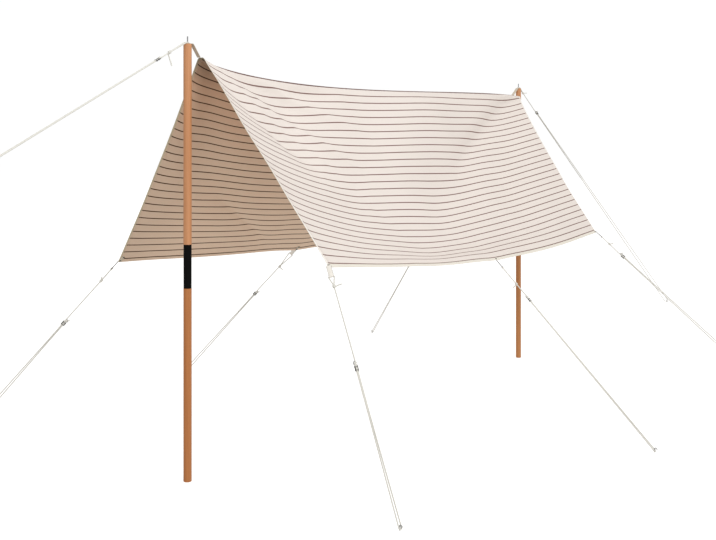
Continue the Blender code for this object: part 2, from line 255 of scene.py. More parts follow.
class Shape:
    """Points, faces and UVs gathered for one piece."""

    def __init__(self):
        self.points = []
        self.faces = []
        self.uvs = []

    def sweep(self, path, section, across=None, closed=False, shares=None):
        """Carry a section of (across, up) places along a path, if asked at a share of its size."""
        first, count, sides = len(self.points), len(path), len(section)
        rim = [0.0]
        for a, b in zip(section, section[1:] + section[:1]):
            rim.append(rim[-1] + math.dist(a, b))
        side = across
        travelled = [0.0]
        for i, place in enumerate(path):
            before = path[i - 1] if i or closed else place
            after = path[(i + 1) % count] if i + 1 < count or closed else place
            heading = (after - before).normalized()
            if across is None:
                side = side or heading.orthogonal().normalized()
                side = (side - heading * side.dot(heading)).normalized()
            up = side.cross(heading).normalized()
            share = shares[i] if shares else 1.0
            self.points.extend(place + (side * a + up * b) * share for a, b in section)
            travelled.append(travelled[-1] + (path[(i + 1) % count] - place).length)
        for i in range(count if closed else count - 1):
            here, there = first + i * sides, first + (i + 1) % count * sides
            low, high = travelled[i], travelled[i + 1]
            for k in range(sides):
                n = (k + 1) % sides
                self.faces.append((here + k, here + n, there + n, there + k))
                self.uvs.extend([(rim[k], low), (rim[k + 1], low), (rim[k + 1], high), (rim[k], high)])
        if not closed:
            for i, turn in ((0, -1), (count - 1, 1)):
                self.faces.append(tuple(first + i * sides + k for k in range(sides))[::turn])
                self.uvs.extend((rim[k], travelled[i]) for k in range(sides))
        return self

    def piece(self, name, material):
        """Make the gathered shape an object, with all faces outwards."""
        mesh = bpy.data.meshes.new(name)
        mesh.from_pydata([tuple(p) for p in self.points], [], self.faces)
        mesh.uv_layers.new(name="UVMap").data.foreach_set("uv", np.array(self.uvs, np.float32).ravel())
        work = bmesh.new()
        work.from_mesh(mesh)
        bmesh.ops.recalc_face_normals(work, faces=work.faces)
        work.normal_update()
        work.to_mesh(mesh)
        work.free()
        mesh.materials.append(material)
        mesh.shade_smooth()
        mesh.set_sharp_from_angle(angle=SHARP_ANGLE)
        return add_object(name, mesh)


print("edges sharper than", round(math.degrees(SHARP_ANGLE)), "degrees stay sharp")

# %% [markdown]
# The cloth was cut 3.2 m by 2.4 m and hangs over a sagging ridge between two tips. Its edges
# are curves, and between them each panel hangs inwards like a slack sail. A patch blended
# from its four edges gives that surface, and one term for the depth makes it hang. Nothing
# needs to be simulated, because the stripes show where the real cloth lies.

# %% Cloth dimensions
CLOTH_ALONG = 3.2
CLOTH_DOWN = 1.2
CLOTH_THICKNESS = 0.0009
HEM_THICKNESS = 0.0026
HEM_WIDTH = 0.020
POLE_SPAN = 3.36
NEAR_TIP = (0.085, 0.0, 1.945)
FAR_TIP = (3.262, 0.0, 1.944)
RIDGE_SAG = 0.076
RIDGE_SHAPE = (0.64, 1.68)
INWARD_SHARE = 0.8
DOWNWARD_SHARE = 0.6
OUTWARD = {"front": -1.0, "back": 1.0}
PANELS = {
    "front": {
        "hem": ((0.116, -0.726, 1.020), (1.695, -0.692, 0.907), (3.230, -0.656, 0.972)),
        "sway": (0.000, 0.000),
        "tug": (0.004, 0.005, 0.005),
        "near_edge": (-0.003, -0.005),
        "far_edge": (0.032, 0.026),
        "bulge": 0.073,
        "sag": 0.141,
        "sag_shape": (1.01, 1.18),
        "lean": (0.28, -0.39),
    },
    "back": {
        "hem": ((0.104, 0.605, 0.958), (1.620, 0.704, 0.902), (3.265, 0.686, 0.978)),
        "sway": (0.012, 0.044),
        "tug": (0.003, 0.009, 0.003),
        "near_edge": (0.003, 0.011),
        "far_edge": (-0.017, -0.014),
        "bulge": 0.030,
        "sag": 0.091,
        "sag_shape": (2.58, 2.09),
        "lean": (-0.40, -0.33),
    },
}
TUG_REACH = 0.16
BULGE_SHAPE = (0.3, 9.0)
print("flat cloth:", CLOTH_ALONG, "by", 2 * CLOTH_DOWN, "m")


# %% The hanging surface
def slack(u, near, far):
    """A hanging line's depth: 0 at both ends, 1 at its lowest, which two powers place."""
    lowest = near / (near + far)
    return (u / lowest) ** near * ((1 - u) / (1 - lowest)) ** far


def bowed(start, through, end, t):
    """A parabola from start to end that passes through a point half way."""
    control = through * 2 - (start + end) / 2
    return start * (1 - t) ** 2 + control * (2 * t * (1 - t)) + end * t ** 2


def between(start, end, share):
    """A share of the way from one place to another."""
    return start * (1 - share) + end * share


def short_edges(panel, inward, t):
    """The panel's near and far edge, from the ridge down to the corners."""
    edges = []
    ends = zip((NEAR_TIP, FAR_TIP), panel["hem"][::2], (panel["near_edge"], panel["far_edge"]))
    for tip, corner, (shift, dip) in ends:
        tip, corner = np.array(tip), np.array(corner)
        half_way = (tip + corner) / 2 + np.array((shift, 0.0, 0.0)) + inward * dip
        edges.append(bowed(tip, half_way, corner, t))
    return edges


def hanging(side, u, t):
    """The smooth panel, before its folds: columns of u along the ridge, rows of t to the hem."""
    panel = PANELS[side]
    inward = np.array((0.0, -OUTWARD[side] * INWARD_SHARE, -DOWNWARD_SHARE))
    u, t = u[:, None, None], t[None, :, None]
    level = np.array(UP)
    straight_ridge = between(np.array(NEAR_TIP), np.array(FAR_TIP), u)
    ridge = straight_ridge - level * RIDGE_SAG * slack(u, *RIDGE_SHAPE)
    rise, draw = panel["sway"]
    wave = np.sin(2 * math.pi * u)
    hem = bowed(*map(np.array, panel["hem"]), u) + level * rise * wave
    hem = hem + np.array((0.0, -OUTWARD[side] * draw, 0.0)) * wave ** 2
    for place, tug in zip((0.0, 0.5, 1.0), panel["tug"]):
        hem = hem - level * tug * np.exp(-(((u - place) * CLOTH_ALONG / TUG_REACH) ** 2))
    near_edge, far_edge = short_edges(panel, inward, t)
    straight_hem = between(near_edge[:, -1:], far_edge[:, -1:], u)
    flat = between(straight_ridge, straight_hem, t)
    lean, turn = panel["lean"]
    depth = 4 * t * (1 - t) * (1 + (lean + turn * (2 * u - 1)) * (2 * t - 1))
    sag = panel["sag"] * slack(u, *panel["sag_shape"]) * depth
    return between(ridge, hem, t) + between(near_edge, far_edge, u) - flat + inward * sag


print("front panel's middle:", hanging("front", np.array([0.5]), np.array([0.5]))[0, 0].round(3))

# %% [markdown]
# Real cloth is not that smooth. Creases run out from the two tips, where all the pull comes
# in, and they bend the stripes. Each fold lies along a line on the flat cloth: where it starts
# and ends, how wide it is and how far it goes inwards. A soft fold has a round top, and a
# sharp one has a crease along it, as a pulled cloth does.

# %% Folds in the cloth
# Start and end as (along, down) on the flat cloth, then width and depth, all in metres
FOLDS = {
    "front": {
        "soft": [
            ((0.32, 0.31), (0.99, -0.04), 0.20, 0.047),
            ((-0.07, -0.24), (0.92, 0.67), 0.20, 0.060),
            ((2.39, -0.19), (0.92, 0.74), 0.29, -0.055),
            ((3.28, -0.01), (1.98, 0.54), 0.08, 0.043),
            ((3.16, 0.02), (0.75, 1.20), 0.16, 0.025),
            ((3.28, -0.05), (2.26, 0.84), 0.16, 0.033),
            ((-0.07, 1.18), (3.22, 1.10), 0.07, -0.018),
        ],
        "sharp": [
            ((0.10, 0.00), (0.99, 0.50), 0.07, -0.049),
            ((-0.12, -0.13), (0.86, 0.61), 0.13, -0.049),
            ((0.06, 0.08), (0.62, 0.53), 0.16, 0.048),
            ((0.17, -0.08), (1.19, 0.30), 0.07, -0.040),
        ],
    },
    "back": {
        "soft": [
            ((0.02, 0.35), (0.71, 0.83), 0.15, -0.019),
            ((0.08, -0.09), (0.31, 0.56), 0.11, -0.027),
            ((0.24, 0.45), (1.32, 0.99), 0.17, 0.007),
        ],
        "sharp": [
            ((0.44, 0.72), (1.31, 1.17), 0.04, -0.019),
            ((0.10, 0.62), (0.92, 1.15), 0.09, 0.003),
        ],
    },
}
CREASE_ROUND = 0.006
RIPPLE = 0.0008
RIDGE_FADE = 0.06
# Fine waves all over the cloth, in radians per metre along and down
WAVES = ((9.0, 4.0), (5.3, -11.0), (-2.0, 17.0))
CALM_AT_RIDGE = 0.2
CALM_AT_HEM = 0.1


def profile(kind, aside, width):
    """A fold's section: a round swell, or a crease that falls away on both sides."""
    if kind == "soft":
        return np.exp(-((aside / width) ** 2))
    return np.exp(-np.sqrt(aside ** 2 + CREASE_ROUND ** 2) / width)


def fold_depth(side, along, down):
    """How far the folds push the cloth inwards at places on the flat cut."""
    depth = np.zeros(np.broadcast(along, down).shape)
    for kind, folds in FOLDS[side].items():
        for (a0, d0), (a1, d1), width, height in folds:
            reach = math.hypot(a1 - a0, d1 - d0)
            ahead = ((along - a0) * (a1 - a0) + (down - d0) * (d1 - d0)) / reach
            aside = ((along - a0) * (d1 - d0) - (down - d0) * (a1 - a0)) / reach
            share = np.clip(ahead / reach, 0.0, 1.0)
            depth += height * np.sin(math.pi * share) * profile(kind, aside, width)
    depth *= np.clip(down / RIDGE_FADE, 0.0, 1.0)
    calm = np.clip(down / CALM_AT_RIDGE, 0.0, 1.0) * np.clip((CLOTH_DOWN - down) / CALM_AT_HEM, 0.0, 1.0)
    waves = sum(np.sin(along * a + down * b) for a, b in WAVES)
    return depth + RIPPLE * waves * calm


print("folds:", {side: len(kinds["soft"]) + len(kinds["sharp"]) for side, kinds in FOLDS.items()})

# %% [markdown]
# The mesh has its rows at equal lengths down the cloth, as the threads lie. So the UV map can
# hold the place on the flat cut in metres, and the stripes, woven a fixed distance apart,
# come out where the real ones are. Extra rows at the hems let the folded edge stand proud,
# and at each tip the strap holds a short flat crown instead of a sharp peak.

# %% A grid in lengths of cloth
HEM_ROUND = 0.0015
FINE_ROWS = 161
BULGE_TO_FAR = 5
# Half the width of the flat crown at the near and the far tip, and how far it reaches
CROWNS = ((0.018, 0.25), (0.032, 0.40))


def spacing(length, both_ends, steps, crowding=0.0):
    """Places from 0 to a length: closer at the hems, and crowded towards the start if asked."""
    hem = [0.0, HEM_ROUND, HEM_WIDTH - HEM_ROUND, HEM_WIDTH]
    inside = length - HEM_WIDTH * (2 if both_ends else 1)
    shares = [k / steps for k in range(1, steps)]
    middle = [HEM_WIDTH * both_ends + inside * (s * (1 - crowding) + s * s * crowding) for s in shares]
    ends = [length - place for place in reversed(hem)]
    return np.array((hem if both_ends else [0.0]) + middle + ends)


ALONG = spacing(CLOTH_ALONG, both_ends=True, steps=220, crowding=0.4)
DOWN = spacing(CLOTH_DOWN, both_ends=False, steps=92)


def panel_grid(side):
    """The panel's places at each column of ALONG and row of DOWN."""
    fine = hanging(side, ALONG / CLOTH_ALONG, np.linspace(0.0, 1.0, FINE_ROWS))
    steps = np.linalg.norm(np.diff(fine, axis=1), axis=2)
    length = np.concatenate([np.zeros((len(ALONG), 1)), np.cumsum(steps, axis=1)], axis=1)
    crown = sum(half * np.clip(1 - to_end / reach, 0.0, 1.0) ** 2
                for (half, reach), to_end in zip(CROWNS, (ALONG, CLOTH_ALONG - ALONG)))
    spread = PANELS[side]["bulge"] * slack(DOWN / CLOTH_DOWN, *BULGE_SHAPE)
    places = np.empty((len(ALONG), len(DOWN), 3))
    for column, flat in enumerate(crown):
        share = np.clip(DOWN - flat, 0.0, None) / (CLOTH_DOWN - flat)
        fine_rows = length[column]
        for axis in range(3):
            places[column, :, axis] = np.interp(share * fine_rows[-1], fine_rows, fine[column, :, axis])
        places[column, :, 0] += spread * (ALONG[column] / CLOTH_ALONG) ** BULGE_TO_FAR
        places[column, :, 1] += OUTWARD[side] * np.minimum(DOWN, flat) * (1 - share)
    return places


def normals_of(places):
    """Unit normals of a grid, square to its columns and its rows."""
    normal = np.cross(np.gradient(places, axis=0), np.gradient(places, axis=1))
    return normal / np.linalg.norm(normal, axis=2, keepdims=True)


grids = {}
for side in PANELS:
    places = panel_grid(side)
    depth = fold_depth(side, ALONG[:, None], DOWN[None, :])
    grids[side] = places - normals_of(places) * depth[:, :, None] * OUTWARD[side]
middle = np.concatenate([grids["front"][:, :0:-1], grids["back"]], axis=1)
DOWN_BOTH = np.concatenate([-DOWN[:0:-1], DOWN])
upright = normals_of(middle)
print("grid:", middle.shape[:2], "lowest normal z", upright[:, :, 2].min().round(2))


# %% Two faces and a rim
ROUNDING = 0.0005


def thickness():
    """Twice the cloth near its edges, where the hem is folded over."""
    edge = np.minimum(ALONG, CLOTH_ALONG - ALONG)[:, None]
    inset = np.minimum(edge, (CLOTH_DOWN - np.abs(DOWN_BOTH))[None, :])
    folded = np.where(inset < HEM_WIDTH - ROUNDING, HEM_THICKNESS, CLOTH_THICKNESS)
    return np.where(inset < ROUNDING, HEM_THICKNESS * 0.5, folded)


def cloth_mesh(name, material):
    """The sheet as one closed skin, its UV map in metres on the flat cut."""
    half = upright * thickness()[:, :, None] / 2
    columns, rows = middle.shape[:2]
    points = np.concatenate([(middle + half).reshape(-1, 3), (middle - half).reshape(-1, 3)])
    number = np.arange(columns * rows).reshape(columns, rows)
    top = np.stack([number[:-1, :-1], number[1:, :-1], number[1:, 1:], number[:-1, 1:]], -1).reshape(-1, 4)
    under = top[:, [0, 3, 2, 1]] + columns * rows
    edge = np.concatenate([number[:, 0], number[-1, 1:], number[-2::-1, -1], number[0, -2:0:-1]])
    turned = np.roll(edge, -1)
    rim = np.stack([turned, edge, edge + columns * rows, turned + columns * rows], -1)
    faces = np.concatenate([top, under, rim])
    mesh = bpy.data.meshes.new(name)
    mesh.from_pydata(points, [], faces.tolist())
    flat = np.tile(np.stack(np.meshgrid(ALONG, DOWN_BOTH, indexing="ij"), -1).reshape(-1, 2), (2, 1))
    layer = mesh.uv_layers.new(name="UVMap")
    layer.data.foreach_set("uv", flat[faces.ravel()].astype(np.float32).ravel())
    inside = np.repeat((0.0, 1.0), columns * rows)
    shade = mesh.attributes.new("inside", "FLOAT", "POINT")
    shade.data.foreach_set("value", inside.astype(np.float32))
    mesh.materials.append(material)
    mesh.shade_smooth()
    return add_object(name, mesh)


print("rows at the ridge:", DOWN_BOTH[len(DOWN) - 1], "hem rows:", DOWN_BOTH[:4].round(4))

# %% [markdown]
# The cloth is a cream cotton weave with thin stripes of muted red-brown, the first along the
# ridge and 27 down each side. The stripes are read from the UV map. The weave is a fine bump
# of crossing threads, with slubs. The inside is painted with shade: darker and warmer, most of
# all close under the ridge, and darker still at the near tip and the near open end. A pale tape
# binds the two short edges.

# %% Canvas
STRIPES_DOWN = 27
LAST_STRIPE = 0.022
STRIPE_PITCH = (CLOTH_DOWN - LAST_STRIPE) / STRIPES_DOWN
STRIPE_WIDTH = 0.0058
RIDGE_STRIPE_EXTRA = 0.0030
STRIPE_BLUR = 0.0004
STRIPE_WANDER = 0.0006
THREAD_PITCH = 0.0011
TIP_SHADE = 0.35
NEAR_END_SHADE = 0.16
TAPE_WIDTH = 0.010
# The colours for the inside and under the ridge are darkened with painted shade; the cream inside is also a
# little warmer than the outside
CREAM = (0.795, 0.735, 0.692)
CREAM_INSIDE_AND_SHADE = (0.795, 0.610, 0.466)
PAINTED_SHADE_UNDER_RIDGE = (0.835, 0.563, 0.388)
TAPE = (0.900, 0.870, 0.820)
TAPE_INSIDE_SHADED = (0.610, 0.540, 0.380)
HEM_FOLD = (0.800, 0.765, 0.690)
STRIPE = (0.200, 0.110, 0.100)
STRIPE_INSIDE_SHADED = (0.060, 0.022, 0.006)


def canvas_material():
    recipe = Recipe("canvas")
    flat = recipe.place("UV")
    along, down, _ = recipe.parts(flat)
    off_ridge = down.math("ABSOLUTE")
    inside = recipe.node("ShaderNodeAttribute", {"attribute_name": "inside"}, output=2)
    # Stripes
    across = off_ridge + (recipe.streaks(along * 40, down * 6) - 0.5) * STRIPE_WANDER
    gap = ((across / STRIPE_PITCH + 0.5).math("FRACT") - 0.5).math("ABSOLUTE") * STRIPE_PITCH
    half = off_ridge.math("LESS_THAN", STRIPE_PITCH / 2) * RIDGE_STRIPE_EXTRA + STRIPE_WIDTH / 2
    stripe = 1 - gap.step(half - STRIPE_BLUR, half + STRIPE_BLUR)
    # Ground, hem and tape
    # The inner face's colour, with painted shade that deepens towards the ridge
    under = recipe.blend(off_ridge.step(0.0, 0.55), PAINTED_SHADE_UNDER_RIDGE, CREAM_INSIDE_AND_SHADE)
    foot = (CLOTH_DOWN - off_ridge).math("LESS_THAN", HEM_WIDTH - 0.002)
    ground = recipe.blend(foot * (1 - inside), recipe.blend(inside, CREAM, under), HEM_FOLD)
    short_edge = along.math("MINIMUM", CLOTH_ALONG - along).math("LESS_THAN", TAPE_WIDTH)
    # Stripes and tape on the inner face take their colours darkened with painted shade
    striped = recipe.blend(stripe, ground, recipe.blend(inside, STRIPE, STRIPE_INSIDE_SHADED))
    taped = recipe.blend(short_edge * 0.85, striped, recipe.blend(inside, TAPE, TAPE_INSIDE_SHADED))
    # Random tone, and painted shade on the inside
    slubs = recipe.streaks(along * 30, down * 900) + recipe.streaks(along * 900, down * 30)
    shade = 0.94 + recipe.noise(flat, 2.2, 2.0) * 0.06 + slubs * 0.03
    # Painted shade on the inner face: under the ridge at the near tip, and along the near open end
    tip_shadow = (1 - off_ridge.step(0.02, 0.16)) * (1 - along.step(0.05, 0.30))
    near_end_shadow = 1 - along.step(0.0, 0.5)
    shade = shade - inside * (tip_shadow * TIP_SHADE + near_end_shadow * NEAR_END_SHADE)
    # Relief
    pucker = recipe.bump(recipe.noise(flat, 14.0, 4.0), 0.004, 0.5)
    weave = along.wave(THREAD_PITCH) * down.wave(THREAD_PITCH)
    relief = recipe.bump((weave + slubs) * 0.5, 0.0003, Normal=pucker)
    colour = recipe.tint(taped, shade)
    return recipe.finish(Base_Color=colour, Roughness=0.92, Normal=relief, Specular_IOR_Level=0.25)


canvas = canvas_material()
cloth = cloth_mesh("canopy_cloth", canvas)
print("cloth:", len(cloth.data.polygons), "faces, stripes every", round(STRIPE_PITCH * 1000, 1), "mm")

# %% [markdown]
# A guy is found from the frame: its slider's middle lies on it and its joint's axis runs along
# it. So its two ends follow. Towards the cloth it reaches the hem or the pole's top, and at
# the other end it turns round a peg's hook just above the ground.

# %% Guy lines
ROPE_RADIUS = 0.0030
STRAND_OFFSET = 0.0031
PEG_LOOP_RADIUS = 0.008
WIDE_LOOP_RADIUS = 0.020
PEG_LOOP_LIFT = 0.002
SLIDER_LENGTH = 0.030
SLIDER_TRAVEL = 0.120
TAB_LENGTH = 0.052
SHORT_TAB_LENGTH = 0.044
STRAP_BEND = 0.0185
POLE_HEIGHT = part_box("near_pole_upper")[1].z
ROPE_ON_STRAP = 0.0024
HEM_PLACES = ("near", "middle", "far")
STRANDS_SIDE_BY_SIDE = ("back_near", "back_middle", "front_far")
EDGE_ON = ("back_near", "front_middle", "front_far")
# How far along the knot sits, and how its loose end stands: to the camera's right, and up
KNOTS = {
    "near_pole": (0.104, (0.018, -0.052)),
    "far_pole": (0.064, (0.023, 0.010)),
    "front_near": (0.085, (0.034, 0.022)),
    "front_middle": (0.170, (-0.020, -0.012)),
    "front_far": (0.122, (0.020, 0.014)),
    "back_near": (0.137, (0.004, 0.034)),
    "back_middle": (0.176, (0.020, -0.010)),
    "back_far": (0.137, (0.018, 0.020)),
}


class Guy:
    """One guy line, from its anchor to its peg."""

    def __init__(self, name):
        self.name = name
        self.knot_at, self.tail = KNOTS[name]
        joint = next(j for j in frame["joints"] if j["name"] == name + "_slide")
        self.along = Vector(joint["axis"]).normalized()
        low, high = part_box(name + "_slider")
        side, place = name.split("_")
        self.on_pole = place == "pole"
        if self.on_pole:
            self.side = -1.0 if side == "near" else 1.0
            self.pole_x = 0.0 if side == "near" else POLE_SPAN
            self.anchor = Vector((self.pole_x + self.side * STRAP_BEND, 0.0, POLE_HEIGHT + ROPE_ON_STRAP))
        else:
            self.anchor = Vector(PANELS[side]["hem"][HEM_PLACES.index(place)])
        self.slider_at = ((low + high) / 2 - self.anchor).dot(self.along)
        square_to = self.anchor - EYE if name in STRANDS_SIDE_BY_SIDE else UP
        self.across = self.along.cross(square_to).normalized()
        dip = PEG_LOOP_RADIUS * math.hypot(self.along.z, self.across.z)
        self.length = (dip + ROPE_RADIUS + PEG_LOOP_LIFT - self.anchor.z) / self.along.z
        self.loop_radius = WIDE_LOOP_RADIUS if name == "far_pole" else PEG_LOOP_RADIUS
        self.loop_at = self.length + PEG_LOOP_RADIUS - self.loop_radius
        self.normal = self.across.cross(self.along)
        self.tab_length = SHORT_TAB_LENGTH if name == "front_near" else TAB_LENGTH

    def at(self, distance, across=0.0, up=0.0):
        return self.anchor + self.along * distance + self.across * across + self.normal * up


guys = [Guy(name) for name in KNOTS]
for guy in guys:
    print(guy.name, "length", round(guy.length, 3), "slider at", round(guy.slider_at, 3))

# %% [markdown]
# The cord is a braid of about 6 mm. Far off it is a plain pale line, and close up the strands
# cross in a herringbone, so the braid is a bump read from the UV map: round the cord one way
# and along it the other.

# %% Cord, webbing and thread
CORD_CREAM = (0.720, 0.715, 0.670)
WEBBING_CREAM = (0.890, 0.860, 0.800)
# Painted shade: the cotton tabs' thin edges, dark as a tab seen edge on looks
WEBBING_EDGE_SHADE = (0.035, 0.033, 0.030)
WEBBING_OLIVE = (0.600, 0.530, 0.430)
CORD_SECTION = circle(ROPE_RADIUS, 10)
BRAID_STRANDS = 8
BRAID_PITCH = 0.0075
RIB_PITCH = 0.0016
TAB_WIDTH = 0.022
TAB_PLY = 0.0018
STRAP_WIDTH = 0.022
STRAP_THICKNESS = 0.0022


def cord_material():
    recipe = Recipe("braided_cord")
    around, along, _ = recipe.parts(recipe.place("UV"))
    turn = around * (BRAID_STRANDS / (2 * ROPE_RADIUS))
    rise = along * (2 * math.pi / BRAID_PITCH)
    braid = (turn + rise).math("SINE").math("MAXIMUM", (turn - rise).math("SINE"))
    # The strands' crests lighter and the grooves between them darker, as painted shade, with random tone
    shade = 0.93 + braid * 0.05 + recipe.streaks(around * 20, along * 7) * 0.04
    normal = recipe.bump(braid, 0.0004, 0.35)
    return recipe.finish(Base_Color=recipe.tint(CORD_CREAM, shade), Roughness=0.85, Normal=normal)


def webbing_material(name, colour, edge_colour, width, ply):
    """A ribbed band, its grooves darkened as painted shade. Its two thin edges, the ends of the section's
    round, take the edge colour, which on the cotton tabs is a painted shade.
    """
    recipe = Recipe(name)
    across, along, _ = recipe.parts(recipe.place("UV"))
    ribs = (along * (2 * math.pi / RIB_PITCH) + across.wave(2 * RIB_PITCH) * 1.2).math("SINE")
    # Ribs lighter on top and darker in the grooves, as painted shade, with random tone
    shade = 0.90 + ribs * 0.04 + recipe.streaks(across * 300, along * 60) * 0.10
    turn = math.pi / 2 * ply
    half_round = turn + width - ply
    past = (across / half_round).math("FRACT") * half_round
    tone = recipe.tint(recipe.blend(past.math("LESS_THAN", turn * 1.05), colour, edge_colour), shade)
    normal = recipe.bump(ribs * 0.6 + across.wave(RIB_PITCH) * 0.4, 0.0003, 0.5)
    return recipe.finish(Base_Color=tone, Roughness=0.9, Normal=normal)


def thread_material(name, colour):
    recipe = Recipe(name)
    shade = 0.8 + recipe.noise(recipe.place("Object"), 900.0) * 0.3
    return recipe.finish(Base_Color=recipe.tint(colour, shade), Roughness=0.7)


cord = cord_material()
webbing = webbing_material("cotton_webbing", WEBBING_CREAM, WEBBING_EDGE_SHADE, TAB_WIDTH, TAB_PLY)
olive_webbing = webbing_material("olive_webbing", WEBBING_OLIVE, WEBBING_OLIVE, STRAP_WIDTH, STRAP_THICKNESS)
thread = thread_material("sewing_thread", (0.66, 0.60, 0.52))
dark_thread = thread_material("dark_thread", (0.030, 0.022, 0.012))
print("soft finishes:", cord.name, webbing.name, olive_webbing.name, thread.name)


# %% [markdown]
# A rope is drawn by its middle line. At a corner tab the line opens into a flat eye, and at a
# pole it drops over the pin. Below either it is hitched round itself, so a few turns of a coil
# stand for the knot, and one short end is left loose.

# %% Paths of the cord
FINE_STEP = 0.01


def rounded(before, corner, after, radius, steps=5):
    """A short curve in place of a corner."""
    enter = (before - corner).normalized() * radius
    leave = (after - corner).normalized() * radius
    return [corner + enter * (1 - k / steps) ** 2 + leave * (k / steps) ** 2 for k in range(steps + 1)]


def straight(start, end, step=0.06):
    """Even places on a straight line, without its end."""
    count = max(1, round((end - start).length / step))
    return [start.lerp(end, k / count) for k in range(count)]


def facing(guy):
    """The tab's width direction, square to the guy. One tab lies flat to the eye, three edge on."""
    wanted = guy.across
    if guy.name == "front_near":
        wanted = SIDEWAYS
    if guy.name in EDGE_ON:
        wanted = guy.anchor - EYE
    return (wanted - guy.along * wanted.dot(guy.along)).normalized()


EYE_ON_TAB = 0.0130
EYE_ON_PIN = 0.0062
EYE_BEND = 0.0052
TURN_PITCH = 0.0042


def eye_path(guy):
    """The closed loop by which the cord holds the tab or the pin."""
    knot = guy.at(guy.knot_at)
    if not guy.on_pole:
        half = facing(guy) * EYE_ON_TAB
        fold = guy.at(guy.tab_length)
        left, right = fold - half, fold + half
        path = straight(knot, left, FINE_STEP)[:-1] + rounded(knot, left, right, EYE_BEND)
        path += rounded(left, right, knot, EYE_BEND)
        return path + straight(right, knot, FINE_STEP)[2:]
    half, outer = EYE_ON_PIN, guy.anchor
    rest = POLE_HEIGHT + 0.0006 + ROPE_ON_STRAP + ROPE_RADIUS
    flat = guy.pole_x + guy.side * 0.0105
    near = Vector((outer.x, half, outer.z))
    path = straight(knot, near, FINE_STEP) + [near, Vector((flat, half, rest))]
    for c, s in arc(90.0, 90.0 + guy.side * 180.0, 8):
        path.append(Vector((guy.pole_x + half * c, half * s, rest)))
    path += [Vector((flat, -half, rest)), Vector((outer.x, -half, outer.z))]
    return path + straight(path[-1], knot, FINE_STEP)[1:]


def hitch(guy, start, turns, radius, pitch=TURN_PITCH, aside=0.0):
    """A few turns of cord wound round the line, as a knot shows from outside."""
    steps = int(turns * 12)
    return [guy.at(start + pitch * k / 12, aside + radius * c, radius * s)
            for k, (c, s) in enumerate(arc(0.0, 360.0 * turns, steps))]


def loose_end(start, sideways, upwards, droop):
    """The cut end of a knot: out to one side, with a slight curve."""
    reach = SIDEWAYS * sideways + UP * upwards
    return [start + reach * (k / 8) - UP * droop * (k / 8) ** 2 for k in range(1, 9)]


print("eye of", guys[2].name, "has", len(eye_path(guys[2])), "places")

# %% [markdown]
# The standing strand runs from the knot past the slider to the peg, and turns round its hook.
# The strand that comes back is a piece of its own, because it gets shorter when the slider
# is pushed towards the peg. The knot's few turns sit on the line where the eye closes.

# %% Cord pieces
KNOT_RADIUS = 0.0046
END_KNOT_RADIUS = 0.0038


def standing_cord(guy):
    """Eye, knot, loose end, standing strand and the turn round the peg, all of which stay."""
    shape = Shape()
    shape.sweep(eye_path(guy), CORD_SECTION, closed=True)
    turns = hitch(guy, guy.knot_at - 0.005, 3, KNOT_RADIUS)
    shape.sweep(turns[:-1] + loose_end(turns[-1], *guy.tail, 0.006), CORD_SECTION)
    upper, lower = guy.slider_at - SLIDER_LENGTH, guy.slider_at + SLIDER_TRAVEL + SLIDER_LENGTH
    stops = [guy.at(guy.knot_at), guy.at(upper, -STRAND_OFFSET), guy.at(lower, -STRAND_OFFSET)]
    stops.append(guy.at(guy.loop_at, -guy.loop_radius))
    path = [place for start, end in zip(stops, stops[1:]) for place in straight(start, end)]
    around_peg = [(guy.loop_radius * c, guy.loop_radius * s) for c, s in arc(-90.0, 90.0, 10)]
    path += [guy.at(guy.loop_at + ahead, aside) for ahead, aside in around_peg]
    shape.sweep(path, CORD_SECTION)
    return shape.piece(guy.name + "_cord", cord)


def return_cord(guy):
    """The strand from the peg back to the slider. On the real guy it shortens as the slider moves."""
    peg = guy.at(guy.loop_at, guy.loop_radius)
    lower = guy.at(guy.slider_at + SLIDER_TRAVEL + SLIDER_LENGTH, STRAND_OFFSET)
    upper = guy.at(guy.slider_at - SLIDER_LENGTH / 2 - 0.002, STRAND_OFFSET)
    path = straight(peg, lower) + straight(lower, upper) + [upper]
    return Shape().sweep(path, CORD_SECTION).piece(guy.name + "_return_cord", cord)


def end_knot(guy):
    """The cord's own end, tied through the slider's ring."""
    end = guy.slider_at - SLIDER_LENGTH / 2 - 0.001
    turns = hitch(guy, end, 2, END_KNOT_RADIUS, -TURN_PITCH, STRAND_OFFSET)
    path = turns + loose_end(turns[-1], 0.012, 0.004, 0.002)
    return Shape().sweep(path, CORD_SECTION).piece(guy.name + "_end_knot", cord)


cords = {guy.name: (standing_cord(guy), return_cord(guy), end_knot(guy)) for guy in guys}
print("cord pieces:", 3 * len(cords))

# %% [markdown]
# The slider is a small dark metal runner: two rounded bars along the cord, four thin rungs that
# the cord passes between, and a steel wire ring at the cloth's end. It is built on the
# slider's own axes and rides on its body.

# %% Slider metal
def metal_material(name, colour, roughness):
    recipe = Recipe(name)
    place = recipe.place("Object")
    x, y, z = recipe.parts(place)
    brushed = recipe.streaks(x * 900, y * 900, z * 120)
    shade = 0.85 + recipe.noise(place, 60.0, 4.0) * 0.3
    rough = roughness - 0.1 + brushed * 0.2
    normal = recipe.bump(brushed, 0.00005, 0.15)
    return recipe.finish(Base_Color=recipe.tint(colour, shade), Roughness=rough, Metallic=1.0, Normal=normal)


def coat_material(name, colour, specular):
    """A dull black coat on metal."""
    recipe = Recipe(name)
    grit = recipe.noise(recipe.place("Object"), 1400.0, 2.0)
    normal = recipe.bump(grit, 0.00008, 0.6)
    recipe.finish(Base_Color=recipe.tint(colour, 0.8 + grit * 0.4), Roughness=0.42 + grit * 0.2)
    return recipe.finish(Specular_IOR_Level=specular, Normal=normal)


